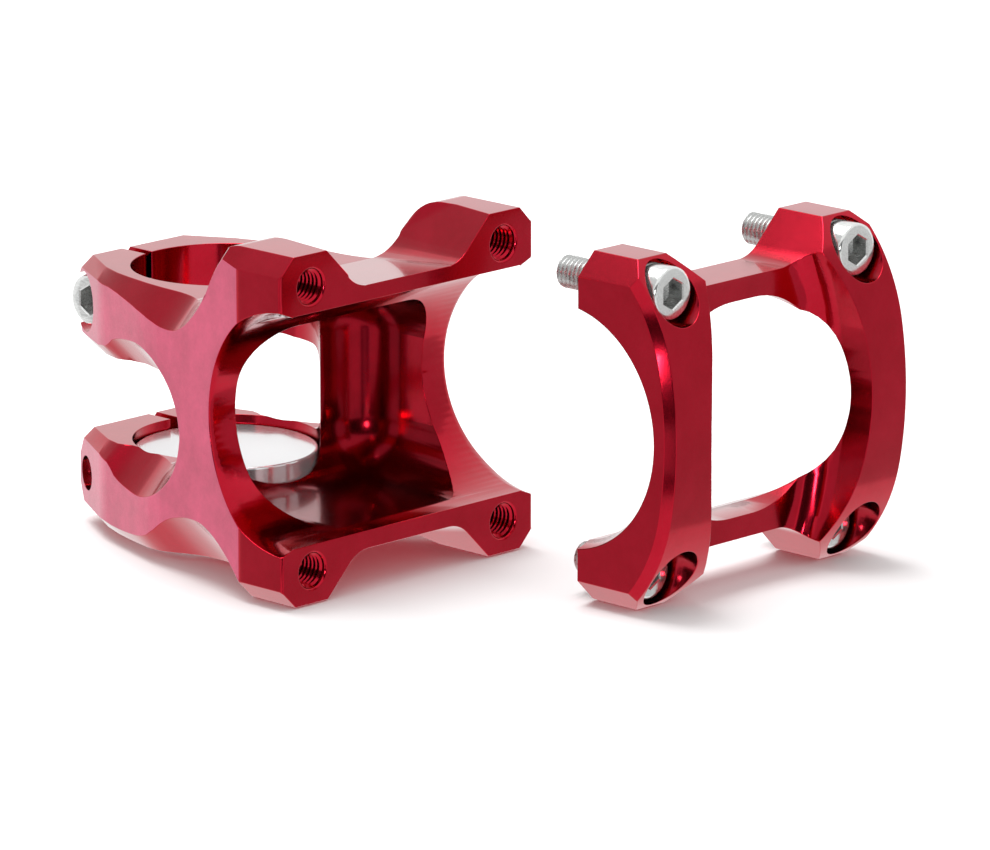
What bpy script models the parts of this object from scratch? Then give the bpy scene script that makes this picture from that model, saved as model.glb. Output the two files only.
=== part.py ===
# Handlebar stem, shown with the faceplate of its bar clamp taken off.
# Metres, +Z up. The steerer axis is the Z axis, the clamp's bottom plane is z = 0,
# the bar lies ahead along +X and runs along Y.

import math

import bmesh
import bpy
from mathutils import Matrix, Vector

# Interfaces
STEERER_BORE = 0.0286
BAR_BORE = 0.0350
STEM_LENGTH = 0.0400
BAR_HEIGHT = 0.0255

# Clamp rings and their ears
RING_HEIGHT = 0.0138
RING_GAP = 0.0132
EAR_HALF_WIDTH = 0.0095
EAR_BEVEL_DEPTH = 0.0035
EAR_BEVEL_HEIGHT = 0.0050
PINCH_SETBACK = 0.0188
SLOT_WIDTH = 0.0016
SLOT_OFFSET = 0.0026

# Side walls, pocket and lugs
HALF_WIDTH = 0.0265
WALL_THICKNESS = 0.0055
POCKET_CORNER = 0.0120
POCKET_ABOVE = 0.0182
POCKET_BELOW = 0.0104
LUG_REACH = 0.02645
LUG_LENGTH = 0.0090
LUG_WIDTH = 0.0095
LUG_CHAMFER = 0.0028
BRIDGE_THICKNESS = 0.0025
BODY_SPLIT = 0.00075
BEVEL_SLOPE = 1.0
BORE_FLARE = 0.0010

# Faceplate
PLATE_SPLIT = 0.0032
STRUT_WIDTH = 0.0089
STRUT_THICKNESS = 0.0044
STRUT_MIDDLE_RADIUS = 0.0600
STRUT_END_RADIUS = 0.0270
STRUT_CHAMFER = 0.0013
PLATE_CHAMFER = 0.0034
CROSSBAR_DEPTH = 0.0086
CROSSBAR_HEIGHT = 0.0035
WINDOW_CORNER = 0.0150
POCKET_FILLET = 0.0046
POCKET_RISE = 0.0237
STRUT_BOW = 0.0540
UPPER_SEAT = 0.0078
LOWER_SEAT = 0.0035
PLATE_SHIFT_X = 0.0239
PLATE_SHIFT_Y = 0.0336

# Bolts, all with one head and thread, and their washers
BOLT_INSET = 0.00635
BOLT_PLACE = 0.447
BOLT_SHANK = 0.0047
BOLT_LENGTH = 0.0180
LOWER_BOLT_LENGTH = 0.0100
PINCH_BOLT_LENGTH = 0.0150
HEAD_DIAMETER = 0.0080
HEAD_HEIGHT = 0.0040
HEAD_CROWN = 0.0007
SOCKET_FLATS = 0.0040
SOCKET_DEPTH = 0.0026
WASHER_THICKNESS = 0.0008
WASHER_DIAMETER = 0.0080
COUNTERBORE = 0.0092
PINCH_SEAT = 0.0054
THREAD_DEPTH = 0.0110

# Plug in the lower ring
PLUG_HEIGHT = 0.0115
PLUG_RECESS = 0.0014

# Fits and facets
CLEARANCE = 0.0003
HOLE_CLEARANCE = 0.0004
ARC_STEP = math.radians(5)
FAR = 0.1

# Positions that follow from the sizes
CLAMP_TOP = 2 * RING_HEIGHT + RING_GAP
CLAMP_MIDDLE = CLAMP_TOP / 2
UPPER_RING = RING_HEIGHT + RING_GAP
BORE_RADIUS = STEERER_BORE / 2
BAR_RADIUS = BAR_BORE / 2
FRONT = STEM_LENGTH - BODY_SPLIT
LUG_TOP = BAR_HEIGHT + LUG_REACH
LUG_BOTTOM = BAR_HEIGHT - LUG_REACH
EAR_END = -(PINCH_SETBACK + HEAD_DIAMETER / 2 - CLEARANCE / 2)
PINCH_UPPER = UPPER_RING + RING_HEIGHT / 2
PINCH_LOWER = RING_HEIGHT / 2
POCKET_HALF = HALF_WIDTH - WALL_THICKNESS - LUG_LENGTH * 0.16
POCKET_REAR = BORE_RADIUS * 0.70
SHAFT_HOLE = BOLT_SHANK + 2 * CLEARANCE
CLEAR_HOLE = BOLT_SHANK + 2 * HOLE_CLEARANCE
BRIDGE_RISE = BAR_RADIUS + BRIDGE_THICKNESS
LUG_INNER_EDGE = HALF_WIDTH - LUG_WIDTH
# The faceplate bolts stand in from the sides, between the bar bore and the ends of the lugs.
BOLT_SPREAD_Y = 2 * (HALF_WIDTH - BOLT_INSET)
BOLT_SPREAD_Z = 2 * (BAR_RADIUS + BOLT_PLACE * (LUG_REACH - BAR_RADIUS))
THREAD_MOUTH = min(SHAFT_HOLE + 2 * CLEARANCE, BOLT_SPREAD_Z - BAR_BORE - CLEARANCE)

# Shape of the side wall's edges: (share of the stem length ahead of the steerer axis, height).
# The upper edge is measured down from the clamp's top, the lower edge up from its bottom,
# and the window between the rings out from the clamp's middle.
UPPER_EDGE = (
    (-0.75, 0.0024), (-0.27, 0.0018), (-0.02, 0.0028), (0.14, 0.0041), (0.25, 0.0046),
    (0.34, 0.0041), (0.43, 0.0018), (0.52, -0.0020), (0.60, -0.0068), (0.66, -0.0094), (0.76, -0.0125),
)
LOWER_EDGE = (
    (-0.75, 0.0024), (-0.27, 0.0018), (-0.05, 0.0020), (0.09, 0.0030), (0.24, 0.0066),
    (0.34, 0.0080), (0.43, 0.0085), (0.51, 0.0082), (0.60, 0.0066), (0.70, 0.0036), (0.82, -0.0012),
)
WINDOW_EDGE = (
    (-0.75, 0.0084), (-0.28, 0.0086), (-0.15, 0.0108), (-0.03, 0.0117), (0.06, 0.0118), (0.14, 0.0110),
    (0.21, 0.0094), (0.27, 0.0074), (0.31, 0.0053), (0.335, 0.0031), (0.35, 0.0004),
)

for leftover in list(bpy.data.objects):
    bpy.data.objects.remove(leftover, do_unlink=True)


def material(name, colour, metallic, roughness):
    made = bpy.data.materials.new(name)
    made.use_nodes = True
    shader = made.node_tree.nodes["Principled BSDF"]
    shader.inputs["Base Color"].default_value = (*colour, 1.0)
    shader.inputs["Metallic"].default_value = metallic
    shader.inputs["Roughness"].default_value = roughness
    return made


def place(bm, name):
    """Turn a bmesh into a linked object with outward normals."""
    bmesh.ops.recalc_face_normals(bm, faces=bm.faces)
    mesh = bpy.data.meshes.new(name)
    bm.to_mesh(mesh)
    bm.free()
    made = bpy.data.objects.new(name, mesh)
    bpy.context.scene.collection.objects.link(made)
    return made


def rounded(corners, pieces=None):
    """A closed outline from (a, b, radius) corners, with an arc in each rounded one."""
    points = []
    count = len(corners)
    for index, (a, b, radius) in enumerate(corners):
        here = Vector((a, b))
        back = (Vector(corners[index - 1][:2]) - here).normalized()
        ahead = (Vector(corners[(index + 1) % count][:2]) - here).normalized()
        half = back.angle(ahead) / 2
        if radius <= 0 or half > math.radians(89.9):
            points.append(tuple(here))
            continue
        centre = here + (back + ahead).normalized() * (radius / math.sin(half))
        start = here + back * (radius / math.tan(half)) - centre
        turn = math.pi - 2 * half
        side = 1 if back.cross(ahead) < 0 else -1
        steps = pieces or max(2, math.ceil(turn / ARC_STEP))
        for step in range(steps + 1):
            spoke = start.copy()
            spoke.rotate(Matrix.Rotation(side * turn * step / steps, 2))
            points.append(tuple(centre + spoke))
    return points


def loft(name, *loops):
    """A closed solid through matching loops of 3D points, capped at both ends."""
    bm = bmesh.new()
    rows = [[bm.verts.new(point) for point in loop] for loop in loops]
    bm.faces.new(rows[0])
    bm.faces.new(rows[-1])
    for row in rows:
        for index, vert in enumerate(row):
            if bm.edges.get((row[index - 1], vert)) is None:
                bm.edges.new((row[index - 1], vert))
    for low, high in zip(rows, rows[1:]):
        for index in range(len(low)):
            bm.faces.new((low[index - 1], low[index], high[index], high[index - 1]))
    return place(bm, name)


def along_z(name, outline, low, high):
    return loft(name, [(x, y, low) for x, y in outline], [(x, y, high) for x, y in outline])


def along_y(name, outline, low, high):
    return loft(name, [(x, low, z) for x, z in outline], [(x, high, z) for x, z in outline])


def along_x(name, outline, low, high):
    return loft(name, [(low, y, z) for y, z in outline], [(high, y, z) for y, z in outline])


def turned(name, profile, closed=False, steps=36):
    """A solid of revolution about the X axis from (along, radius) points."""
    bm = bmesh.new()
    verts = [bm.verts.new((along, radius, 0.0)) for along, radius in profile]
    pairs = list(zip(verts, verts[1:])) + ([(verts[-1], verts[0])] if closed else [])
    edges = [bm.edges.new(pair) for pair in pairs]
    bmesh.ops.spin(
        bm, geom=verts + edges, axis=(1, 0, 0), cent=(0, 0, 0),
        steps=steps, angle=math.tau, use_merge=True, use_duplicate=False,
    )
    bmesh.ops.remove_doubles(bm, verts=bm.verts, dist=1e-7)
    return place(bm, name)


def cylinder(name, radius, start, end):
    """A round bar between two points, for bores and holes."""
    axis = Vector(end) - Vector(start)
    bm = bmesh.new()
    bmesh.ops.create_cone(
        bm, cap_ends=True, segments=80 if radius > 0.01 else 36,
        radius1=radius, radius2=radius, depth=axis.length,
    )
    turn = axis.to_track_quat("Z", "Y").to_matrix().to_4x4()
    middle = (Vector(start) + Vector(end)) / 2
    bmesh.ops.transform(bm, matrix=Matrix.Translation(middle) @ turn, verts=bm.verts)
    return place(bm, name)


def cone(name, radius, depth, mouth, axis):
    """A countersink whose wide end is at the mouth and which narrows against the axis."""
    outward = Vector(axis).normalized()
    bm = bmesh.new()
    bmesh.ops.create_cone(
        bm, cap_ends=True, segments=80, radius1=radius - depth, radius2=radius + depth, depth=2 * depth,
    )
    turn = outward.to_track_quat("Z", "Y").to_matrix().to_4x4()
    bmesh.ops.transform(bm, matrix=Matrix.Translation(Vector(mouth)) @ turn, verts=bm.verts)
    return place(bm, name)


def combine(target, how, *tools):
    """Apply one Boolean per tool to the target, then drop the tools."""
    for tool in tools:
        step = target.modifiers.new(tool.name, "BOOLEAN")
        step.operation = how
        step.solver = "EXACT"
        step.object = tool
    bpy.context.view_layer.update()
    graph = bpy.context.evaluated_depsgraph_get()
    shaped = bpy.data.meshes.new_from_object(target.evaluated_get(graph))
    target.modifiers.clear()
    target.data = shaped
    for tool in tools:
        bpy.data.objects.remove(tool, do_unlink=True)
    return target


def cut(target, *tools):
    return combine(target, "DIFFERENCE", *tools)


def finish(target, look):
    """Clean the mesh, give it its material and shade its round faces smooth."""
    bm = bmesh.new()
    bm.from_mesh(target.data)
    bmesh.ops.remove_doubles(bm, verts=bm.verts, dist=2e-6)
    bmesh.ops.dissolve_degenerate(bm, edges=bm.edges, dist=1e-6)
    bmesh.ops.triangulate(bm, faces=bm.faces)
    bmesh.ops.recalc_face_normals(bm, faces=bm.faces)
    bm.to_mesh(target.data)
    bm.free()
    target.data.materials.clear()
    target.data.materials.append(look)
    target.data.shade_smooth()
    target.data.set_sharp_from_angle(angle=math.radians(25))
    return target


def curve_through(points, count=32):
    """Evenly spaced samples of a smooth curve through the points."""
    found = []
    last = len(points) - 1
    for step in range(count + 1):
        place_on = step / count * last
        index = min(int(place_on), last - 1)
        t = place_on - index
        p0, p1, p2, p3 = (Vector(points[min(max(index + k, 0), last)]) for k in (-1, 0, 1, 2))
        found.append(
            0.5 * (2 * p1 + (p2 - p0) * t + (2 * p0 - 5 * p1 + 4 * p2 - p3) * t ** 2
                   + (3 * p1 - p0 - 3 * p2 + p3) * t ** 3)
        )
    return found


# Half of the body's plan, from the ear forward to the split plane: (x, y, corner radius)
SHOULDER = BORE_RADIUS + 0.0050
HALF_PLAN = (
    (EAR_END, EAR_HALF_WIDTH, 0.0008),
    (-0.545 * SHOULDER, 0.839 * SHOULDER, 0.0200),
    (0.125 * STEM_LENGTH, HALF_WIDTH - 0.0052, 0.0600),
    (FRONT - LUG_LENGTH, HALF_WIDTH, 0.0080),
    (FRONT, HALF_WIDTH, 0.0005),
)


def wall_half_width(x):
    """How far the side wall stands from the middle plane at x."""
    for (x0, y0, _), (x1, y1, _) in zip(HALF_PLAN, HALF_PLAN[1:]):
        if x <= x1:
            return y0 + (y1 - y0) * (x - x0) / (x1 - x0)
    return HALF_WIDTH


def sloped_tool(name, edge, side, way):
    """What lies above (way 1) or below (way -1) a bevelled edge of one side wall.

    The edge is a list of (x, z) on the wall. The cut runs from it towards the middle plane,
    rising or falling by BEVEL_SLOPE.
    """
    inner, outer = 0.004, 0.036
    loops = []
    for reach in (inner, outer):
        loop = [(x, side * reach, z + way * BEVEL_SLOPE * (wall_half_width(x) - reach)) for x, z in edge]
        loop.append((edge[-1][0], side * reach, way * FAR))
        loop.append((edge[0][0], side * reach, way * FAR))
        loops.append(loop)
    return loft(name, *loops)


def valley(name, way, rear, rear_half, rear_floor):
    """The trough between a pair of lugs. Its floor falls from the bridge back to the rear end.

    Heights count from the bar axis, up for way 1 and down for way -1.
    """
    rim = LUG_REACH + 0.004
    front_half = LUG_INNER_EDGE - (LUG_REACH - BRIDGE_RISE)
    loops = []
    for x, half, floor in ((rear, rear_half, rear_floor), (FRONT + 0.001, front_half, BRIDGE_RISE)):
        slope = (LUG_INNER_EDGE - half) / (LUG_REACH - floor)
        top = half + slope * (rim - floor)
        outline = rounded(((-top, rim, 0), (-half, floor, 0.0055), (half, floor, 0.0055), (top, rim, 0)), 8)
        loops.append([(x, y, BAR_HEIGHT + way * z) for y, z in outline])
    return loft(name, *loops)


def bar_bore(name, centre):
    """The cutter for the bar, opening out a little towards both sides of the stem."""
    flare = 0.010
    start = HALF_WIDTH - 0.0025
    wide = BAR_RADIUS + BORE_FLARE * flare / 0.0025
    cutter = turned(name, (
        (-start - flare, 0.0), (-start - flare, wide), (-start, BAR_RADIUS),
        (start, BAR_RADIUS), (start + flare, wide), (start + flare, 0.0),
    ), steps=96)
    turn = Matrix.Rotation(math.pi / 2, 4, "Z")
    cutter.data.transform(Matrix.Translation(centre) @ turn)
    return cutter


def build_body():
    plan = [(x, -y, radius) for x, y, radius in HALF_PLAN]
    plan += [(x, y, radius) for x, y, radius in reversed(HALF_PLAN)]
    body = along_z("stem_body", rounded(plan), min(LUG_BOTTOM, 0.0) - CLEARANCE, LUG_TOP)

    # Side profile: the clamp's two end planes run forward into the rounded backs of the lugs.
    lug_back = FRONT - LUG_LENGTH * 1.85
    crown = 0.0055
    over = rounded((
        (-FAR, CLAMP_TOP, 0), (0.36 * STEM_LENGTH, CLAMP_TOP, 0.006),
        (lug_back - 0.0012, CLAMP_TOP + 0.0026, 0.002), (lug_back, LUG_TOP - crown, 0),
        (lug_back, LUG_TOP + 0.01, 0), (-FAR, LUG_TOP + 0.01, 0),
    ))
    under = (
        (-FAR, 0.0), (lug_back + 0.002, 0.0), (lug_back + 0.006, LUG_BOTTOM),
        (FAR, LUG_BOTTOM), (FAR, -FAR), (-FAR, -FAR),
    )
    round_back = [(lug_back - 0.001, LUG_TOP - crown), (lug_back, LUG_TOP - crown)]
    for step in range(1, 13):
        angle = math.pi - step / 12 * math.pi / 2
        round_back.append((
            lug_back + crown + crown * math.cos(angle), LUG_TOP - crown + crown * math.sin(angle),
        ))
    round_back += [(lug_back + crown, LUG_TOP + 0.005), (lug_back - 0.001, LUG_TOP + 0.005)]
    cut(
        body,
        along_y("over", over, -FAR, FAR),
        along_y("under", under, -FAR, FAR),
        along_y("round_back", round_back, -FAR, FAR),
        valley("upper_valley", 1, 0.50 * STEM_LENGTH, LUG_INNER_EDGE - 0.0030, BRIDGE_RISE - 0.0021),
        valley("lower_valley", -1, 0.40 * STEM_LENGTH, LUG_INNER_EDGE - 0.0010, BAR_HEIGHT),
    )

    # Chamfers along the outer edges of the lugs.
    for side in (-1, 1):
        for end, way in ((LUG_TOP, 1), (LUG_BOTTOM, -1)):
            corner = (
                (side * (HALF_WIDTH - LUG_CHAMFER - 0.002), end + way * 0.002),
                (side * (HALF_WIDTH + 0.002), end - way * (LUG_CHAMFER + 0.002)),
                (side * (HALF_WIDTH + 0.006), end + way * 0.002),
            )
            cut(body, along_x("lug_chamfer", corner, -FAR, FAR))

    # Bevelled scallops over and under each wall, and the flared window between the rings.
    upper = [(x * STEM_LENGTH, CLAMP_TOP - drop) for x, drop in curve_through(UPPER_EDGE)]
    lower = [(x * STEM_LENGTH, rise) for x, rise in curve_through(LOWER_EDGE)]
    window = [(x * STEM_LENGTH, half) for x, half in curve_through(WINDOW_EDGE)]
    for side in (-1, 1):
        roof = sloped_tool("roof", [(x, CLAMP_MIDDLE + half) for x, half in window], side, -1)
        sill = sloped_tool("sill", [(x, CLAMP_MIDDLE - half) for x, half in window], side, 1)
        combine(roof, "INTERSECT", sill)
        cut(
            body,
            sloped_tool("upper_scallop", upper, side, 1),
            sloped_tool("lower_scallop", lower, side, -1),
            roof,
        )

    # Ends of the ears, bevelled above and below on both rings.
    for low, high in ((0.0, RING_HEIGHT), (UPPER_RING, CLAMP_TOP)):
        for plane, way in ((high, 1), (low, -1)):
            slope = EAR_BEVEL_HEIGHT / EAR_BEVEL_DEPTH
            bevel = (
                (EAR_END + EAR_BEVEL_DEPTH + 0.002, plane + way * 0.002 * slope),
                (EAR_END - 0.004, plane - way * (EAR_BEVEL_HEIGHT + 0.004 * slope)),
                (EAR_END - 0.004, plane + way * 0.002 * slope),
            )
            cut(body, along_y("ear_bevel", bevel, -0.03, 0.03))

    # Openings: steerer bore, bar bore, gap between the rings, pocket between the walls.
    gap = rounded((
        (-FAR, RING_HEIGHT, 0), (POCKET_REAR - 0.0008, RING_HEIGHT, 0.004),
        (POCKET_REAR - 0.0008, UPPER_RING, 0.004), (-FAR, UPPER_RING, 0),
    ))
    pocket = rounded((
        (POCKET_REAR, -POCKET_HALF, POCKET_CORNER), (FRONT + 0.02, -POCKET_HALF, 0),
        (FRONT + 0.02, POCKET_HALF, 0), (POCKET_REAR, POCKET_HALF, POCKET_CORNER),
    ))
    cut(
        body,
        along_y("gap", gap, -FAR, FAR),
        along_z("pocket", pocket, CLAMP_MIDDLE - POCKET_BELOW, CLAMP_MIDDLE + POCKET_ABOVE),
        cylinder("steerer_bore", BORE_RADIUS, (0, 0, -0.01), (0, 0, CLAMP_TOP + 0.01)),
        bar_bore("bar_bore", (STEM_LENGTH, 0, BAR_HEIGHT)),
    )
    for mouth, way in ((0.0, -1), (CLAMP_TOP, 1)):
        cut(body, cone("bore_edge", BORE_RADIUS, 0.0005, (0, 0, mouth), (0, 0, way)))

    # Clamp slots, pinch-bolt holes and their counterbores. The lower bolt is turned end for end.
    for height, side in ((PINCH_UPPER, -1), (PINCH_LOWER, 1)):
        split = side * SLOT_OFFSET
        slot = (
            (EAR_END - 0.01, split - SLOT_WIDTH / 2), (-BORE_RADIUS * 0.5, split - SLOT_WIDTH / 2),
            (-BORE_RADIUS * 0.5, split + SLOT_WIDTH / 2), (EAR_END - 0.01, split + SLOT_WIDTH / 2),
        )
        reach = RING_HEIGHT / 2 + 0.003
        cut(
            body,
            along_z("slot", slot, height - reach, height + reach),
            cylinder("seat", COUNTERBORE / 2, (-PINCH_SETBACK, side * PINCH_SEAT, height),
                     (-PINCH_SETBACK, side * 0.04, height)),
            cylinder("clear_hole", CLEAR_HOLE / 2, (-PINCH_SETBACK, split, height),
                     (-PINCH_SETBACK, side * 0.04, height)),
            cylinder("thread", SHAFT_HOLE / 2, (-PINCH_SETBACK, split, height),
                     (-PINCH_SETBACK, -side * 0.04, height)),
        )

    # Threaded holes in the four lugs, with countersunk mouths and drill-point ends.
    for y in (-BOLT_SPREAD_Y / 2, BOLT_SPREAD_Y / 2):
        for z in (BAR_HEIGHT - BOLT_SPREAD_Z / 2, BAR_HEIGHT + BOLT_SPREAD_Z / 2):
            drill = turned("drill", (
                (-THREAD_DEPTH - SHAFT_HOLE * 0.3, 0.0), (-THREAD_DEPTH, SHAFT_HOLE / 2),
                (-CLEARANCE, SHAFT_HOLE / 2), (0.0, THREAD_MOUTH / 2), (0.004, THREAD_MOUTH / 2), (0.004, 0.0),
            ))
            drill.data.transform(Matrix.Translation((FRONT, y, z)))
            cut(body, drill)
    return body


def strut_front(crown, inset):
    """Upper half of a strut's front edge as (x, z) points, from mid-height to the lug's top.

    A flat arc in the middle runs on into a tighter one towards the lug.
    """
    change = 0.415 * LUG_REACH
    lean = math.asin(change / STRUT_MIDDLE_RADIUS)
    middle = crown - STRUT_MIDDLE_RADIUS
    end_x = middle + (STRUT_MIDDLE_RADIUS - STRUT_END_RADIUS) * math.cos(lean)
    end_z = (STRUT_MIDDLE_RADIUS - STRUT_END_RADIUS) * math.sin(lean)
    points = []
    for step in range(9):
        angle = lean * step / 8
        radius = STRUT_MIDDLE_RADIUS - inset
        points.append((middle + radius * math.cos(angle), radius * math.sin(angle)))
    radius = STRUT_END_RADIUS - inset
    last = math.asin((LUG_REACH - end_z) / radius)
    for step in range(1, 15):
        angle = lean + (last - lean) * step / 14
        points.append((end_x + radius * math.cos(angle), end_z + radius * math.sin(angle)))
    return points


def build_faceplate():
    """The faceplate about its own origin, on the bar axis at the middle of the clamp."""
    rear = PLATE_SPLIT
    crown = BAR_RADIUS + STRUT_THICKNESS
    loops = []
    for y, inset in (
        (-HALF_WIDTH, STRUT_CHAMFER), (STRUT_CHAMFER - HALF_WIDTH, 0.0),
        (HALF_WIDTH - STRUT_CHAMFER, 0.0), (HALF_WIDTH, STRUT_CHAMFER),
    ):
        front = strut_front(crown, inset)
        loop = [(rear, y, -LUG_REACH)]
        loop += [(x, y, -z) for x, z in reversed(front)]
        loop += [(x, y, z) for x, z in front[1:]]
        loop.append((rear, y, LUG_REACH))
        loops.append(loop)
    plate = loft("faceplate", *loops)

    # The bar bore, the window between the struts, and the round-floored step back to the cross-bars.
    inside = HALF_WIDTH - STRUT_WIDTH
    sill = BRIDGE_RISE - CROSSBAR_HEIGHT
    corner = min(WINDOW_CORNER, inside - CLEARANCE, sill - CLEARANCE)
    window = rounded((
        (-inside, -sill, corner), (inside, -sill, corner), (inside, sill, corner), (-inside, sill, corner),
    ))
    floors = []
    for step in range(7):
        angle = step / 6 * math.pi / 2
        inset = POCKET_FILLET * (1 - math.sin(angle))
        x = rear + CROSSBAR_DEPTH + POCKET_FILLET * (1 - math.cos(angle))
        low, high = -LUG_REACH - 0.002, POCKET_RISE - inset
        side = []
        for rung in range(17):
            z = low + (high - low) * rung / 16
            side.append((inside - inset - STRUT_BOW + math.sqrt(STRUT_BOW ** 2 - z ** 2), z))
        outline = side + [(-y, z) for y, z in reversed(side)]
        floors.append([(x, y, z) for y, z in outline])
    floors.append([(0.05, y, z) for x, y, z in floors[-1]])
    rim = LUG_REACH + 0.004
    top = LUG_INNER_EDGE + rim - LUG_REACH
    reach = LUG_INNER_EDGE - (LUG_REACH - BRIDGE_RISE)
    trough = rounded(((-top, rim, 0), (-reach, BRIDGE_RISE, 0.006), (reach, BRIDGE_RISE, 0.006), (top, rim, 0)))
    cut(
        plate,
        bar_bore("bar_bore", (0, 0, 0)),
        along_x("window", window, -0.01, 0.05),
        loft("step_back", *floors),
        along_x("upper_trough", trough, -0.01, 0.05),
        along_x("lower_trough", [(y, -z) for y, z in trough], -0.01, 0.05),
    )
    for side in (-1, 1):
        for way in (-1, 1):
            corner = (
                (side * (HALF_WIDTH - PLATE_CHAMFER - 0.002), way * (LUG_REACH + 0.002)),
                (side * (HALF_WIDTH + 0.002), way * (LUG_REACH - PLATE_CHAMFER - 0.002)),
                (side * (HALF_WIDTH + 0.006), way * (LUG_REACH + 0.002)),
            )
            y = side * BOLT_SPREAD_Y / 2
            z = way * BOLT_SPREAD_Z / 2
            seat = rear + (UPPER_SEAT if way > 0 else LOWER_SEAT)
            cut(
                plate,
                along_x("lug_chamfer", corner, -0.01, 0.05),
                cylinder("seat", COUNTERBORE / 2, (seat, y, z), (0.05, y, z)),
                cylinder("clear_hole", CLEAR_HOLE / 2, (-0.01, y, z), (0.05, y, z)),
            )
    return plate


def build_bolt(name, length):
    """A socket-head bolt along X: its head stands on x = 0 and its shank points to -X."""
    tip = CLEARANCE * 1.5
    bolt = turned(name, (
        (HEAD_HEIGHT, 0.0), (HEAD_HEIGHT, HEAD_DIAMETER / 2 - HEAD_CROWN),
        (HEAD_HEIGHT - HEAD_CROWN * 0.4, HEAD_DIAMETER / 2 - HEAD_CROWN * 0.3),
        (HEAD_HEIGHT - HEAD_CROWN, HEAD_DIAMETER / 2), (0.0, HEAD_DIAMETER / 2), (0.0, BOLT_SHANK / 2),
        (tip - length, BOLT_SHANK / 2), (-length, BOLT_SHANK / 2 - tip), (-length, 0.0),
    ))
    corner = SOCKET_FLATS / math.sqrt(3)
    hexagon = [
        (corner * math.sin(k * math.pi / 3), corner * math.cos(k * math.pi / 3)) for k in range(6)
    ]
    return cut(bolt, along_x("socket", hexagon, HEAD_HEIGHT - SOCKET_DEPTH, HEAD_HEIGHT + 0.002))


def build_washer(name):
    """A flat washer along X whose upper face is x = 0."""
    inner = CLEAR_HOLE / 2
    outer = WASHER_DIAMETER / 2
    return turned(name, (
        (0.0, inner), (0.0, outer), (-WASHER_THICKNESS, outer), (-WASHER_THICKNESS, inner),
    ), closed=True)


RED = material("anodised_red", (0.50, 0.012, 0.030), 1.0, 0.32)
STEEL = material("bolt_steel", (0.72, 0.73, 0.72), 1.0, 0.25)
WASHER_STEEL = material("washer_steel", (0.60, 0.61, 0.60), 1.0, 0.35)
BRIGHT = material("bright_plug", (0.85, 0.86, 0.87), 1.0, 0.12)

finish(build_body(), RED)

faceplate = finish(build_faceplate(), RED)
faceplate.location = (STEM_LENGTH + PLATE_SHIFT_X, PLATE_SHIFT_Y, BAR_HEIGHT)

# Each bolt and its washer lie on the bolt's axis, a clearance off their seat and off each other.
STACKING = CLEARANCE + WASHER_THICKNESS
for level, z, seat, length in (
    ("upper", BOLT_SPREAD_Z / 2, UPPER_SEAT, BOLT_LENGTH),
    ("lower", -BOLT_SPREAD_Z / 2, LOWER_SEAT, LOWER_BOLT_LENGTH),
):
    for hand, y in (("right", -BOLT_SPREAD_Y / 2), ("left", BOLT_SPREAD_Y / 2)):
        washer = finish(build_washer(f"washer_{level}_{hand}"), WASHER_STEEL)
        washer.parent = faceplate
        washer.location = (PLATE_SPLIT + seat + STACKING, y, z)
        bolt = finish(build_bolt(f"bolt_{level}_{hand}", length), STEEL)
        bolt.parent = washer
        bolt.location = (CLEARANCE, 0, 0)

for level, height, side in (("upper", PINCH_UPPER, -1), ("lower", PINCH_LOWER, 1)):
    washer = finish(build_washer(f"pinch_washer_{level}"), WASHER_STEEL)
    washer.location = (-PINCH_SETBACK, side * (PINCH_SEAT + STACKING), height)
    washer.rotation_euler = (0, 0, side * math.pi / 2)
    bolt = finish(build_bolt(f"pinch_bolt_{level}", PINCH_BOLT_LENGTH), STEEL)
    bolt.parent = washer
    bolt.location = (CLEARANCE, 0, 0)

plug_radius = BORE_RADIUS - CLEARANCE
plug = turned("steerer_plug", (
    (0.0, 0.0), (0.0, plug_radius - CLEARANCE), (CLEARANCE, plug_radius),
    (PLUG_HEIGHT - CLEARANCE, plug_radius), (PLUG_HEIGHT, plug_radius - CLEARANCE), (PLUG_HEIGHT, 0.0),
), steps=80)
plug.rotation_euler = (0, -math.pi / 2, 0)
plug.location = (0, 0, RING_HEIGHT - PLUG_RECESS - PLUG_HEIGHT)
finish(plug, BRIGHT)
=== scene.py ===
import math

import bmesh
import bpy
from mathutils import Matrix, Vector


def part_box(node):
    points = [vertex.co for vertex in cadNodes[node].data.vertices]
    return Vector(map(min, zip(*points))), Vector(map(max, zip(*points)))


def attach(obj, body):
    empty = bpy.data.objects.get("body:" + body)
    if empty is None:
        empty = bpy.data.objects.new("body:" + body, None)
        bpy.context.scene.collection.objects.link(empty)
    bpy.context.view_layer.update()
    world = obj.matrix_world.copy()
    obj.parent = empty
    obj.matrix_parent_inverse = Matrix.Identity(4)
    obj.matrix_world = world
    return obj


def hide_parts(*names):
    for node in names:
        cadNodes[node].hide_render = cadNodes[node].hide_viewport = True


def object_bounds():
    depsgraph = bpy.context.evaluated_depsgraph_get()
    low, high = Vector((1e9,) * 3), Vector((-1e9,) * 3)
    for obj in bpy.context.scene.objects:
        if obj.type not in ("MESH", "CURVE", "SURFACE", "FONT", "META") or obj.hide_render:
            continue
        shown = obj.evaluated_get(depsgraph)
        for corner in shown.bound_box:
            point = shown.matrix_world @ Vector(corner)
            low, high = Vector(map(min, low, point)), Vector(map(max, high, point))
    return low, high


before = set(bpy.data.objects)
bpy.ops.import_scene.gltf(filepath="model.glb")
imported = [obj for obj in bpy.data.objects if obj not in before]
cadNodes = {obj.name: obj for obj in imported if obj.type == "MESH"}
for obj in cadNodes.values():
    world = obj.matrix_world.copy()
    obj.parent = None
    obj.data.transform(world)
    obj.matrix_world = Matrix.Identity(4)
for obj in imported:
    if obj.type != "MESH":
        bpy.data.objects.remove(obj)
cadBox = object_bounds()
print("frame loaded:", len(cadNodes), "nodes")


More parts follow.
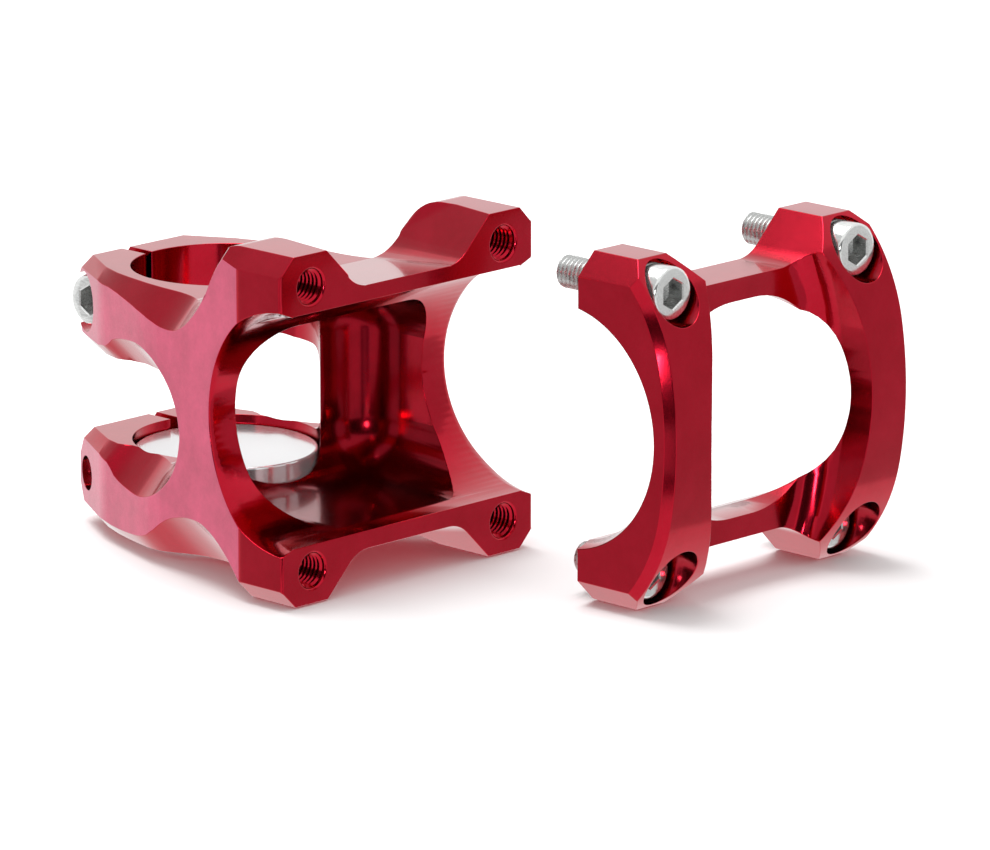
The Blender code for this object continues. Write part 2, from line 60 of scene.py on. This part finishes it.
# shared helpers

def linkPiece(bm, name, looks, body, node=None, sharpAngle=30):
    bmesh.ops.recalc_face_normals(bm, faces=bm.faces)
    mesh = bpy.data.meshes.new(name)
    bm.to_mesh(mesh)
    bm.free()
    for look in looks:
        mesh.materials.append(look)
    mesh.shade_smooth()
    mesh.set_sharp_from_angle(angle=math.radians(sharpAngle))
    piece = bpy.data.objects.new(name, mesh)
    bpy.context.scene.collection.objects.link(piece)
    shading = piece.modifiers.new("faceShading", "WEIGHTED_NORMAL")
    shading.keep_sharp = True
    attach(piece, body)
    if node:
        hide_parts(node)
    return piece


def nodeCentre(node):
    low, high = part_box(node)
    return (low + high) / 2


def ringEdges(bm, radius, height, segments):
    made = bmesh.ops.create_circle(
        bm, cap_ends=False, segments=segments, radius=radius, matrix=Matrix.Translation((0, 0, height)))
    return list({edge for vert in made["verts"] for edge in vert.link_edges})


def stepRing(bm, edges, scale, lift):
    # pulls a ring of edges to its next size and height, with faces between
    made = bmesh.ops.extrude_edge_only(bm, edges=edges)["geom"]
    verts = [item for item in made if isinstance(item, bmesh.types.BMVert)]
    bmesh.ops.scale(bm, vec=(scale, scale, 1), verts=verts)
    bmesh.ops.translate(bm, vec=(0, 0, lift), verts=verts)
    return [item for item in made if isinstance(item, bmesh.types.BMEdge)]


def profileRings(bm, edges, radius, points):
    # walks a ring along (radius, height change) points
    for nextRadius, lift in points:
        edges = stepRing(bm, edges, nextRadius / radius, lift)
        radius = nextRadius
    return edges


# materials

def newLook(name, colour, metallic, roughness):
    look = bpy.data.materials.new(name)
    look.use_nodes = True
    shader = look.node_tree.nodes["Principled BSDF"]
    shader.inputs["Base Color"].default_value = (*colour, 1)
    shader.inputs["Metallic"].default_value = metallic
    shader.inputs["Roughness"].default_value = roughness
    return look, look.node_tree, shader


def addNode(tree, kind, **inputs):
    node = tree.nodes.new(kind)
    for key, value in inputs.items():
        node.inputs[key.replace("_", " ")].default_value = value
    return node


def objectNoise(tree, scale, detail, stretch=(1, 1, 1), grit=0.5):
    coords = tree.nodes.new("ShaderNodeTexCoord")
    mapping = addNode(tree, "ShaderNodeMapping", Scale=stretch)
    noise = addNode(tree, "ShaderNodeTexNoise", Scale=scale, Detail=detail, Roughness=grit)
    tree.links.new(coords.outputs["Object"], mapping.inputs["Vector"])
    tree.links.new(mapping.outputs["Vector"], noise.inputs["Vector"])
    return noise.outputs["Fac"]


def toRange(tree, value, low, high):
    ranged = addNode(tree, "ShaderNodeMapRange", From_Min=0.3, From_Max=0.7, To_Min=low, To_Max=high)
    tree.links.new(value, ranged.inputs["Value"])
    return ranged.outputs["Result"]


def toColours(tree, value, dark, light):
    ramp = tree.nodes.new("ShaderNodeValToRGB")
    ramp.color_ramp.elements[0].position = 0.3
    ramp.color_ramp.elements[0].color = (*dark, 1)
    ramp.color_ramp.elements[1].position = 0.7
    ramp.color_ramp.elements[1].color = (*light, 1)
    tree.links.new(value, ramp.inputs["Fac"])
    return ramp.outputs["Color"]


def addBump(tree, shader, height, strength, distance):
    bump = addNode(tree, "ShaderNodeBump", Strength=strength, Distance=distance)
    tree.links.new(height, bump.inputs["Height"])
    tree.links.new(bump.outputs["Normal"], shader.inputs["Normal"])


anodised = {
    "machined": {"dark": (0.45, 0.006, 0.020), "light": (0.56, 0.010, 0.031), "roughness": (0.12, 0.19),
                 "bump": 0.05, "coatRoughness": 0.06, "coatIor": 1.15},
    "blasted": {"dark": (0.58, 0.036, 0.115), "light": (0.86, 0.072, 0.200), "roughness": (0.32, 0.46),
                "bump": 0.45, "coatRoughness": 0.25, "coatIor": 1.50},
    # pocket: painted shade, a darker copy of the machined red for the inside of the pocket
    "pocket": {"dark": (0.23, 0.003, 0.010), "light": (0.33, 0.005, 0.017), "roughness": (0.16, 0.24),
               "bump": 0.05, "coatRoughness": 0.08, "coatIor": 1.12},
}


def anodisedRed(name, finish):
    look, tree, shader = newLook(name, finish["light"], 1.0, finish["roughness"][1])
    patches = objectNoise(tree, 110, 7, grit=0.72)
    tree.links.new(toColours(tree, patches, finish["dark"], finish["light"]), shader.inputs["Base Color"])
    grain = objectNoise(tree, 5200, 2)
    tree.links.new(toRange(tree, grain, *finish["roughness"]), shader.inputs["Roughness"])
    addBump(tree, shader, grain, finish["bump"], 0.00004)
    shader.inputs["Coat Weight"].default_value = 1.0
    shader.inputs["Coat Roughness"].default_value = finish["coatRoughness"]
    shader.inputs["Coat IOR"].default_value = finish["coatIor"]
    return look


def boltSteel(name, colour, roughness):
    look, tree, shader = newLook(name, colour, 0.9, roughness)
    turning = objectNoise(tree, 900, 2, (1, 6, 6))
    darker = tuple(0.8 * part for part in colour)
    tree.links.new(toColours(tree, turning, darker, colour), shader.inputs["Base Color"])
    tree.links.new(toRange(tree, turning, 0.7 * roughness, 1.4 * roughness), shader.inputs["Roughness"])
    addBump(tree, shader, turning, 0.12, 0.00003)
    return look


def polishedPlug():
    look, tree, shader = newLook("polishedPlug", (0.88, 0.89, 0.90), 0.75, 0.14)
    rings = tree.nodes.new("ShaderNodeTexWave")
    rings.wave_type = "RINGS"
    rings.rings_direction = "Z"
    rings.inputs["Scale"].default_value = 900
    rings.inputs["Distortion"].default_value = 1.5
    coords = tree.nodes.new("ShaderNodeTexCoord")
    tree.links.new(coords.outputs["Object"], rings.inputs["Vector"])
    tree.links.new(toRange(tree, rings.outputs["Fac"], 0.10, 0.20), shader.inputs["Roughness"])
    addBump(tree, shader, rings.outputs["Fac"], 0.05, 0.00002)
    return look


machinedRed = anodisedRed("machinedRed", anodised["machined"])
blastedRed = anodisedRed("blastedRed", anodised["blasted"])
# the darker red for the pocket's inside is painted shade; the anodise there is the same as outside
pocketShadedRed = anodisedRed("pocketShadedRed", anodised["pocket"])
headSteel = boltSteel("boltSteel", (0.88, 0.89, 0.88), 0.16)
# threadSteelAndSocketShade is the darker steel of the threads, and is also used as painted shade inside the hex
# sockets and under the heads
threadSteelAndSocketShade = boltSteel("threadSteelAndSocketShade", (0.62, 0.63, 0.62), 0.28)
washerSteel = boltSteel("washerSteel", (0.60, 0.61, 0.60), 0.32)
plugFinish = polishedPlug()
print("materials made")


# machined red pieces: the solids of the frame with their sharp edges broken

machined = {"weld": 0.00010, "edgeBreak": 0.00011, "edgeAngle": 28, "segments": 2, "lugStart": 0.0301, "pocketWeld": 0.00003}


# the pocket as milled from the front with a ball-nosed cutter, which leaves all its corners round
pocket = {
    "half": 0.01958, "floor": 0.0084, "roof": 0.0377, "rear": 0.0104, "corner": 0.0080, "nose": 0.0077, "steps": 10,
    "overlap": 0.00015, "solidRoof": 0.0386, "solidCorner": 0.0120, "solidRear": 0.01001,
    "barRadius": 0.01752, "barPlace": (0.0400, 0.0, 0.0255), "steererRadius": 0.01432,
}


def addBlock(bm, low, high):
    size = Vector(high) - Vector(low)
    place = Matrix.Translation((Vector(low) + Vector(high)) / 2) @ Matrix.Diagonal((*size, 1))
    return bmesh.ops.create_cube(bm, size=1.0, matrix=place)["verts"]


def pocketSlabs():
    # fills the bottom and the top of the solid's square pocket, for the cutter to round
    bm = bmesh.new()
    rear, side, over = pocket["solidRear"] - pocket["overlap"], pocket["half"] + pocket["overlap"], pocket["overlap"]
    for low, high in ((pocket["floor"] + 0.0010, pocket["floor"] + pocket["corner"]),
                      (pocket["roof"] - pocket["corner"], pocket["solidRoof"] + over)):
        addBlock(bm, (rear, -side, low), (pocket["barPlace"][0], side, high))
    upright = [edge for edge in bm.edges if abs((edge.verts[0].co - edge.verts[1].co).z) > 0.001
               and edge.verts[0].co.x < pocket["rear"]]
    bmesh.ops.bevel(
        bm, geom=upright, offset=pocket["solidCorner"] + over, offset_type="OFFSET", segments=2 * pocket["steps"], profile=0.5,
        affect="EDGES", clamp_overlap=False, material=-1)
    return bm


def boreCylinder(radius, place):
    bm = bmesh.new()
    bmesh.ops.create_cone(
        bm, cap_ends=True, segments=192, radius1=radius, radius2=radius, depth=0.12, matrix=place)
    return bm


def pocketCutter():
    bm = bmesh.new()
    addBlock(bm, (pocket["rear"], -pocket["half"], pocket["floor"]), (0.06, pocket["half"], pocket["roof"]))
    long = [edge for edge in bm.edges if abs((edge.verts[0].co - edge.verts[1].co).x) > 0.01]
    bmesh.ops.bevel(
        bm, geom=long, offset=pocket["corner"], offset_type="OFFSET", segments=pocket["steps"], profile=0.5,
        affect="EDGES", clamp_overlap=False, material=-1)
    rear = [edge for edge in bm.edges if max(vert.co.x for vert in edge.verts) < pocket["rear"] + 1e-5]
    bmesh.ops.bevel(
        bm, geom=rear, offset=pocket["nose"], offset_type="OFFSET", segments=pocket["steps"], profile=0.5,
        affect="EDGES", clamp_overlap=False, material=-1)
    return bm


def solidFrom(bm, name):
    bmesh.ops.recalc_face_normals(bm, faces=bm.faces)
    mesh = bpy.data.meshes.new(name)
    bm.to_mesh(mesh)
    bm.free()
    made = bpy.data.objects.new(name, mesh)
    bpy.context.scene.collection.objects.link(made)
    return made


def addBoolean(target, how, tool):
    step = target.modifiers.new(how.lower(), "BOOLEAN")
    step.operation = how
    step.solver = "EXACT"
    step.object = tool


def millPocket(bm):
    block = solidFrom(bm, "pocketBlock")
    slabs = solidFrom(pocketSlabs(), "pocketSlabs")
    acrossBar = Matrix.Translation(pocket["barPlace"]) @ Matrix.Rotation(math.pi / 2, 4, "X")
    bar = solidFrom(boreCylinder(pocket["barRadius"], acrossBar), "pocketBar")
    steerer = solidFrom(boreCylinder(pocket["steererRadius"], Matrix()), "pocketSteerer")
    cutter = solidFrom(pocketCutter(), "pocketCutter")
    addBoolean(block, "UNION", slabs)
    for tool in (bar, steerer, cutter):
        addBoolean(block, "DIFFERENCE", tool)
    graph = bpy.context.evaluated_depsgraph_get()
    mesh = bpy.data.meshes.new_from_object(block.evaluated_get(graph))
    milled = bmesh.new()
    milled.from_mesh(mesh)
    bpy.data.meshes.remove(mesh)
    for tool in (block, slabs, bar, steerer, cutter):
        bpy.data.meshes.remove(tool.data)  # takes its object along
    return milled


def finishAndPocketShadeFaces(bm):
    # blasted outsides of the walls and rings, and painted shade inside the pocket as a darker red
    for face in bm.faces:
        spot = face.calc_center_median()
        outward = face.normal.y * spot.y > 0 and abs(face.normal.y) > 0.75 and abs(face.normal.z) < 0.05
        fromBar = math.hypot(spot.x - pocket["barPlace"][0], spot.z - pocket["barPlace"][2])
        fromSteerer = math.hypot(spot.x, spot.y)
        inPocket = (spot.x > pocket["rear"] - 0.0001 and face.normal.x > -0.1 and abs(spot.y) < pocket["half"] + 0.0001
                    and pocket["floor"] - 0.0001 < spot.z < pocket["roof"] + 0.0001
                    and fromBar > pocket["barRadius"] + 0.0001 and fromSteerer > pocket["steererRadius"])
        if outward and spot.x < machined["lugStart"] and abs(spot.y) > 0.0085:
            face.material_index = 1
        elif inPocket:
            # painted shade: the pocket's inside faces get the darker red
            face.material_index = 2


def machinedPiece(node, name):
    bm = bmesh.new()
    bm.from_mesh(cadNodes[node].data)
    bmesh.ops.remove_doubles(bm, verts=bm.verts, dist=machined["weld"])
    bmesh.ops.dissolve_degenerate(bm, edges=bm.edges, dist=machined["weld"])
    if node == "stem_body":
        bm = millPocket(bm)
        bmesh.ops.remove_doubles(bm, verts=bm.verts, dist=machined["pocketWeld"])
        bmesh.ops.dissolve_degenerate(bm, edges=bm.edges, dist=machined["pocketWeld"])
        print("pocket milled:", len(bm.faces), "faces,", sum(not edge.is_manifold for edge in bm.edges), "open edges")
    bmesh.ops.dissolve_limit(
        bm, angle_limit=math.radians(0.25), use_dissolve_boundaries=False, verts=bm.verts, edges=bm.edges,
        delimit={"NORMAL"})
    if node == "stem_body":
        finishAndPocketShadeFaces(bm)
    sharp = [edge for edge in bm.edges if edge.calc_face_angle(0) > math.radians(machined["edgeAngle"])]
    bmesh.ops.bevel(
        bm, geom=sharp, offset=machined["edgeBreak"], offset_type="OFFSET", segments=machined["segments"], profile=0.5,
        affect="EDGES", clamp_overlap=False, material=-1)
    return linkPiece(bm, name, (machinedRed, blastedRed, pocketShadedRed), node, node, 40)


stemBody = machinedPiece("stem_body", "stemBody")
facePlate = machinedPiece("faceplate", "facePlate")
print("red pieces made")


# bolts with real threads

bolt = {
    "headHeight": 0.0040, "crown": 0.0007, "hexFlats": 0.0040, "hexDepth": 0.0026,
    "crest": 0.00247, "root": 0.00212, "pitch": 0.0008, "stepsPerTurn": 24, "tipChamfer": 0.0004,
}


def threadSpin(bm, profile, turns, closed):
    # sweeps a (radius, height) profile along a helix about Z
    verts = [bm.verts.new((radius, 0, height)) for radius, height in profile]
    pairs = list(zip(verts, verts[1:])) + ([(verts[-1], verts[0])] if closed else [])
    edges = [bm.edges.new(pair) for pair in pairs]
    steps = int(turns * bolt["stepsPerTurn"])
    made = bmesh.ops.spin(
        bm, geom=verts + edges, cent=(0, 0, 0), axis=(0, 0, 1), dvec=(0, 0, bolt["pitch"] * turns / steps),
        angle=math.tau * turns, steps=steps, use_merge=False, use_duplicate=False)
    return verts, made["geom_last"]


def threadedRod(bm, length):
    # a thread from height 0 down to -length, with a chamfered tip
    pitch, root, crest = bolt["pitch"], bolt["root"], bolt["crest"]
    rod = bmesh.new()
    profile = ((root, 0), (root, 0.12 * pitch), (crest, 0.44 * pitch), (crest, 0.56 * pitch), (root, 0.88 * pitch),
               (root, pitch))
    threadSpin(rod, profile, math.ceil(length / pitch) + 3, False)
    bmesh.ops.remove_doubles(rod, verts=rod.verts, dist=1e-6)
    bmesh.ops.translate(rod, vec=(0, 0, -length - pitch), verts=rod.verts)
    for height, normal in ((-length + bolt["tipChamfer"], (0, 0, -1)), (0.0006, (0, 0, 1))):
        bmesh.ops.bisect_plane(
            rod, geom=rod.verts[:] + rod.edges[:] + rod.faces[:], dist=1e-7, plane_co=(0, 0, height),
            plane_no=normal, clear_outer=True)
    tip = [edge for edge in rod.edges if edge.is_boundary and edge.verts[0].co.z < -length / 2]
    top = [edge for edge in rod.edges if edge.is_boundary and edge.verts[0].co.z > -length / 2]
    tip = stepRing(rod, tip, 0.80, -bolt["tipChamfer"])
    bmesh.ops.edgeloop_fill(rod, edges=tip)
    bmesh.ops.edgeloop_fill(rod, edges=top)
    for face in rod.faces:
        face.material_index = 1
    mesh = bpy.data.meshes.new("rod")
    rod.to_mesh(mesh)
    rod.free()
    bm.from_mesh(mesh)
    bpy.data.meshes.remove(mesh)


def socketHead(bm, size):
    # head standing on height 0, with a hexagon socket in its top
    top = bolt["headHeight"]
    rim = size - bolt["crown"]
    hexRadius = bolt["hexFlats"] / math.sqrt(3)
    hexRing = ringEdges(bm, hexRadius + 0.0002, top, 6)
    rimRing = ringEdges(bm, rim, top, 48)
    bmesh.ops.bridge_loops(bm, edges=hexRing + rimRing)
    outer = profileRings(bm, rimRing, rim, (
        (size - 0.45 * bolt["crown"], -0.12 * bolt["crown"]), (size - 0.12 * bolt["crown"], -0.33 * bolt["crown"]),
        (size, -0.55 * bolt["crown"]), (size, bolt["crown"] + 0.0002 - top), (size - 0.0002, -0.0002),
        (bolt["root"], 0)))
    bmesh.ops.edgeloop_fill(bm, edges=outer)
    inner = profileRings(bm, hexRing, hexRadius + 0.0002, (
        (hexRadius, -0.0002), (hexRadius, -bolt["hexDepth"]), (0.35 * hexRadius, -0.0006)))
    bmesh.ops.edgeloop_fill(bm, edges=inner)
    # painted shade: the socket's inside and the face under the head get the darker thread steel
    for face in bm.faces:
        spot = face.calc_center_median()
        if spot.z < top - 0.0003 and spot.xy.length < hexRadius:
            face.material_index = 1  # painted shade: darker inside the socket and under the head


def makeBolt(node, name, direction):
    low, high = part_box(node)
    length = (high - low)[direction[0]] - bolt["headHeight"]
    bm = bmesh.new()
    socketHead(bm, (high - low)[direction[0] - 1] / 2)
    threadedRod(bm, length)
    axis = Vector((0, 0, 0))
    axis[direction[0]] = direction[1]
    turn = axis.to_track_quat("Z", "Y").to_matrix().to_4x4()
    foot = nodeCentre(node)
    foot[direction[0]] = (high if direction[1] > 0 else low)[direction[0]] - direction[1] * bolt["headHeight"]
    bmesh.ops.transform(bm, matrix=Matrix.Translation(foot) @ turn, verts=bm.verts)
    return linkPiece(bm, name, (headSteel, threadSteelAndSocketShade), node, node, 40)


for level in ("upper", "lower"):
    for hand in ("right", "left"):
        makeBolt(f"bolt_{level}_{hand}", f"bolt_{level}_{hand}_piece", (0, 1))
makeBolt("pinch_bolt_upper", "pinch_bolt_upper_piece", (1, -1))
makeBolt("pinch_bolt_lower", "pinch_bolt_lower_piece", (1, 1))
print("bolts made")


# washers, plug and the threads inside the lugs

washer = {"innerRadius": 0.00275, "round": 0.00012, "segments": 48}


def makeWasher(node, name, direction):
    low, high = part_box(node)
    thick = (high - low)[direction]
    size = (high - low)[(direction + 1) % 3] / 2
    edge = washer["round"]
    bm = bmesh.new()
    inner = ringEdges(bm, washer["innerRadius"] + edge, -thick / 2, washer["segments"])
    profileRings(bm, inner, washer["innerRadius"] + edge, (
        (size - edge, 0), (size, edge), (size, thick - 2 * edge), (size - edge, edge),
        (washer["innerRadius"] + edge, 0), (washer["innerRadius"], -edge), (washer["innerRadius"], 2 * edge - thick),
        (washer["innerRadius"] + edge, -edge)))
    bmesh.ops.remove_doubles(bm, verts=bm.verts, dist=1e-7)
    axis = Vector((0, 0, 0))
    axis[direction] = 1
    turn = axis.to_track_quat("Z", "Y").to_matrix().to_4x4()
    bmesh.ops.transform(bm, matrix=Matrix.Translation(nodeCentre(node)) @ turn, verts=bm.verts)
    return linkPiece(bm, name, (washerSteel,), node, node, 50)


for level in ("upper", "lower"):
    makeWasher(f"pinch_washer_{level}", f"pinch_washer_{level}_piece", 1)
    for hand in ("right", "left"):
        makeWasher(f"washer_{level}_{hand}", f"washer_{level}_{hand}_piece", 0)

plug = {"edge": 0.0004, "segments": 128}


def makePlug():
    low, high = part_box("steerer_plug")
    radius = (high.x - low.x) / 2
    edge = plug["edge"]
    bm = bmesh.new()
    ring = ringEdges(bm, 0.25 * radius, high.z, plug["segments"])
    bmesh.ops.edgeloop_fill(bm, edges=ring)
    last = profileRings(bm, ring, 0.25 * radius, (
        (radius - edge, 0), (radius - 0.3 * edge, -0.3 * edge), (radius, -0.7 * edge),
        (radius, 2 * edge + low.z - high.z), (radius - edge, -edge), (0.25 * radius, 0)))
    bmesh.ops.edgeloop_fill(bm, edges=last)
    return linkPiece(bm, "plugPiece", (plugFinish,), "steerer_plug", "steerer_plug", 50)


makePlug()

lugThread = {"wall": 0.00275, "crest": 0.00228, "turns": 12, "setBack": 0.0004}


def makeLugThread(name, y, z, front):
    pitch = bolt["pitch"]
    bm = bmesh.new()
    profile = ((lugThread["wall"], 0.06 * pitch), (lugThread["crest"], 0.42 * pitch), (lugThread["crest"], 0.54 * pitch),
               (lugThread["wall"], 0.90 * pitch))
    first, last = threadSpin(bm, profile, lugThread["turns"], True)
    bm.faces.new(first)
    bm.faces.new([item for item in last if isinstance(item, bmesh.types.BMVert)])
    place = Matrix.Translation((front - lugThread["setBack"], y, z)) @ Matrix.Rotation(-math.pi / 2, 4, "Y")
    bmesh.ops.transform(bm, matrix=place, verts=bm.verts)
    return linkPiece(bm, name, (machinedRed,), "stem_body", None)


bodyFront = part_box("stem_body")[1].x
boltSpread = nodeCentre("bolt_upper_left") - nodeCentre("bolt_lower_right")
barHeight = (nodeCentre("bolt_upper_left").z + nodeCentre("bolt_lower_right").z) / 2
for level, way in (("upper", 1), ("lower", -1)):
    for hand, side in (("right", -1), ("left", 1)):
        makeLugThread(f"lug_thread_{level}_{hand}", side * boltSpread.y / 2, barHeight + way * boltSpread.z / 2, bodyFront)
print("washers, plug and lug threads made")


# stage: floor, soft light and the camera

studio = {
    "floorHalf": 1.5, "floorColour": (0.88, 0.88, 0.88), "worldStrength": 0.95, "topPower": 5.0, "keyPower": 2.1,
    "sideGrey": 0.60, "frontGrey": 0.05,
}


def addPlane(name, halfWidth, halfHeight, matrix, look):
    bm = bmesh.new()
    bmesh.ops.create_grid(bm, x_segments=1, y_segments=1, size=1.0)
    bmesh.ops.scale(bm, vec=(halfWidth, halfHeight, 1), verts=bm.verts)
    bmesh.ops.transform(bm, matrix=matrix, verts=bm.verts)
    mesh = bpy.data.meshes.new(name)
    bm.to_mesh(mesh)
    bm.free()
    mesh.materials.append(look)
    made = bpy.data.objects.new(name, mesh)
    bpy.context.scene.collection.objects.link(made)
    return made


floorLook, floorTree, floorShader = newLook("floorPaper", studio["floorColour"], 0.0, 0.9)
floorShader.inputs["Specular IOR Level"].default_value = 0.0
floorLevel = Matrix.Translation((0, 0, cadBox[0][2] - 0.0003))
floor = addPlane("floor", studio["floorHalf"], studio["floorHalf"], floorLevel, floorLook)
floor.visible_glossy = False

world = bpy.data.worlds.new("studio")
world.use_nodes = True
bpy.context.scene.world = world
sky = world.node_tree.nodes["Background"]
sky.inputs["Color"].default_value = (1, 1, 1, 1)
sky.inputs["Strength"].default_value = studio["worldStrength"]


def softbox(name, place, target, size, power):
    lamp = bpy.data.lights.new(name, "AREA")
    lamp.shape = "RECTANGLE"
    lamp.size, lamp.size_y = size
    lamp.energy = power
    made = bpy.data.objects.new(name, lamp)
    made.location = place
    made.rotation_euler = (Vector(target) - Vector(place)).to_track_quat("-Z", "Y").to_euler()
    bpy.context.scene.collection.objects.link(made)
    return made


photo = {
    "azimuth": 45.5, "elevation": 13.96, "distance": 1.18175, "lens": 289.2, "sensor": 36.0,
    "aim": (0.03923, 0.0, 0.0255), "aimLeft": 0.01172, "pixelLength": 7953.0, "shiftRight": 165.0, "shiftDown": 19.64,
}
azimuth = math.radians(photo["azimuth"])
elevation = math.radians(photo["elevation"])
toCamera = Vector((
    math.sin(azimuth) * math.cos(elevation), -math.cos(azimuth) * math.cos(elevation), math.sin(elevation)))
right = Vector((math.cos(azimuth), math.sin(azimuth), 0))
up = toCamera.cross(right)
lookAlong = -toCamera + right * (photo["shiftRight"] / photo["pixelLength"]) - up * (photo["shiftDown"] / photo["pixelLength"])
lens = bpy.data.cameras.new("photoCamera")
lens.lens = photo["lens"]
lens.sensor_width = photo["sensor"]
lens.sensor_fit = "HORIZONTAL"
lens.clip_start = 0.05
camera = bpy.data.objects.new("photoCamera", lens)
camera.location = Vector(photo["aim"]) - right * photo["aimLeft"] + toCamera * photo["distance"]
camera.rotation_euler = lookAlong.to_track_quat("-Z", "Y").to_euler()
bpy.context.scene.collection.objects.link(camera)
bpy.context.scene.camera = camera
bpy.context.scene.view_settings.view_transform = "Standard"

# cards seen only in reflections, grey at the sides and dark at the front, and two softboxes
middle = (Vector(cadBox[0]) + Vector(cadBox[1])) / 2
inward = Vector((-math.sin(azimuth), math.cos(azimuth), 0))
upward = Vector((0, 0, 1))


def studioCard(name, grey, facing, across, distance, near, far, low, high):
    look, tree, shader = newLook(name, (0, 0, 0), 0.0, 1.0)
    shader.inputs["Specular IOR Level"].default_value = 0.0
    shader.inputs["Emission Color"].default_value = (1, 1, 1, 1)
    shader.inputs["Emission Strength"].default_value = grey
    spread = Matrix((across, upward, facing)).transposed().to_4x4()
    centre = middle + facing * distance + across * (near + far) / 2 + upward * (low + high) / 2
    card = addPlane(name, (far - near) / 2, (high - low) / 2, Matrix.Translation(centre) @ spread, look)
    card.visible_camera = card.visible_diffuse = card.visible_shadow = card.visible_transmission = False


studioCard("rightCard", studio["sideGrey"], right, inward, 0.45, -0.45, 0.12, -0.28, 0.32)
studioCard("leftCard", studio["sideGrey"], -right, inward, 0.45, -0.45, 0.06, -0.28, 0.85)
studioCard("upperLeftCard", studio["sideGrey"], -right, inward, 0.45, 0.06, 0.60, 0.22, 0.85)
studioCard("frontCard", studio["frontGrey"], -inward, right, 1.6, -1.2, 1.2, -0.22, 0.9)
softbox("topSoftbox", middle - right * 0.15 + inward * 0.15 + Vector((0, 0, 0.7)), middle, (0.5, 0.5), studio["topPower"])
studioCard("lowFrontCard", studio["frontGrey"], -inward, right, 1.6, -0.25, 0.25, -0.7, -0.22)
studioCard("lowKickCard", studio["sideGrey"], -inward, right, 1.3, -0.10, 0.10, -0.45, -0.20)
softbox("keySoftbox", middle - right * 0.09 - inward * 1.32 + Vector((0, 0, 0.145)), middle, (0.16, 0.22), studio["keyPower"])
print("stage and camera set")
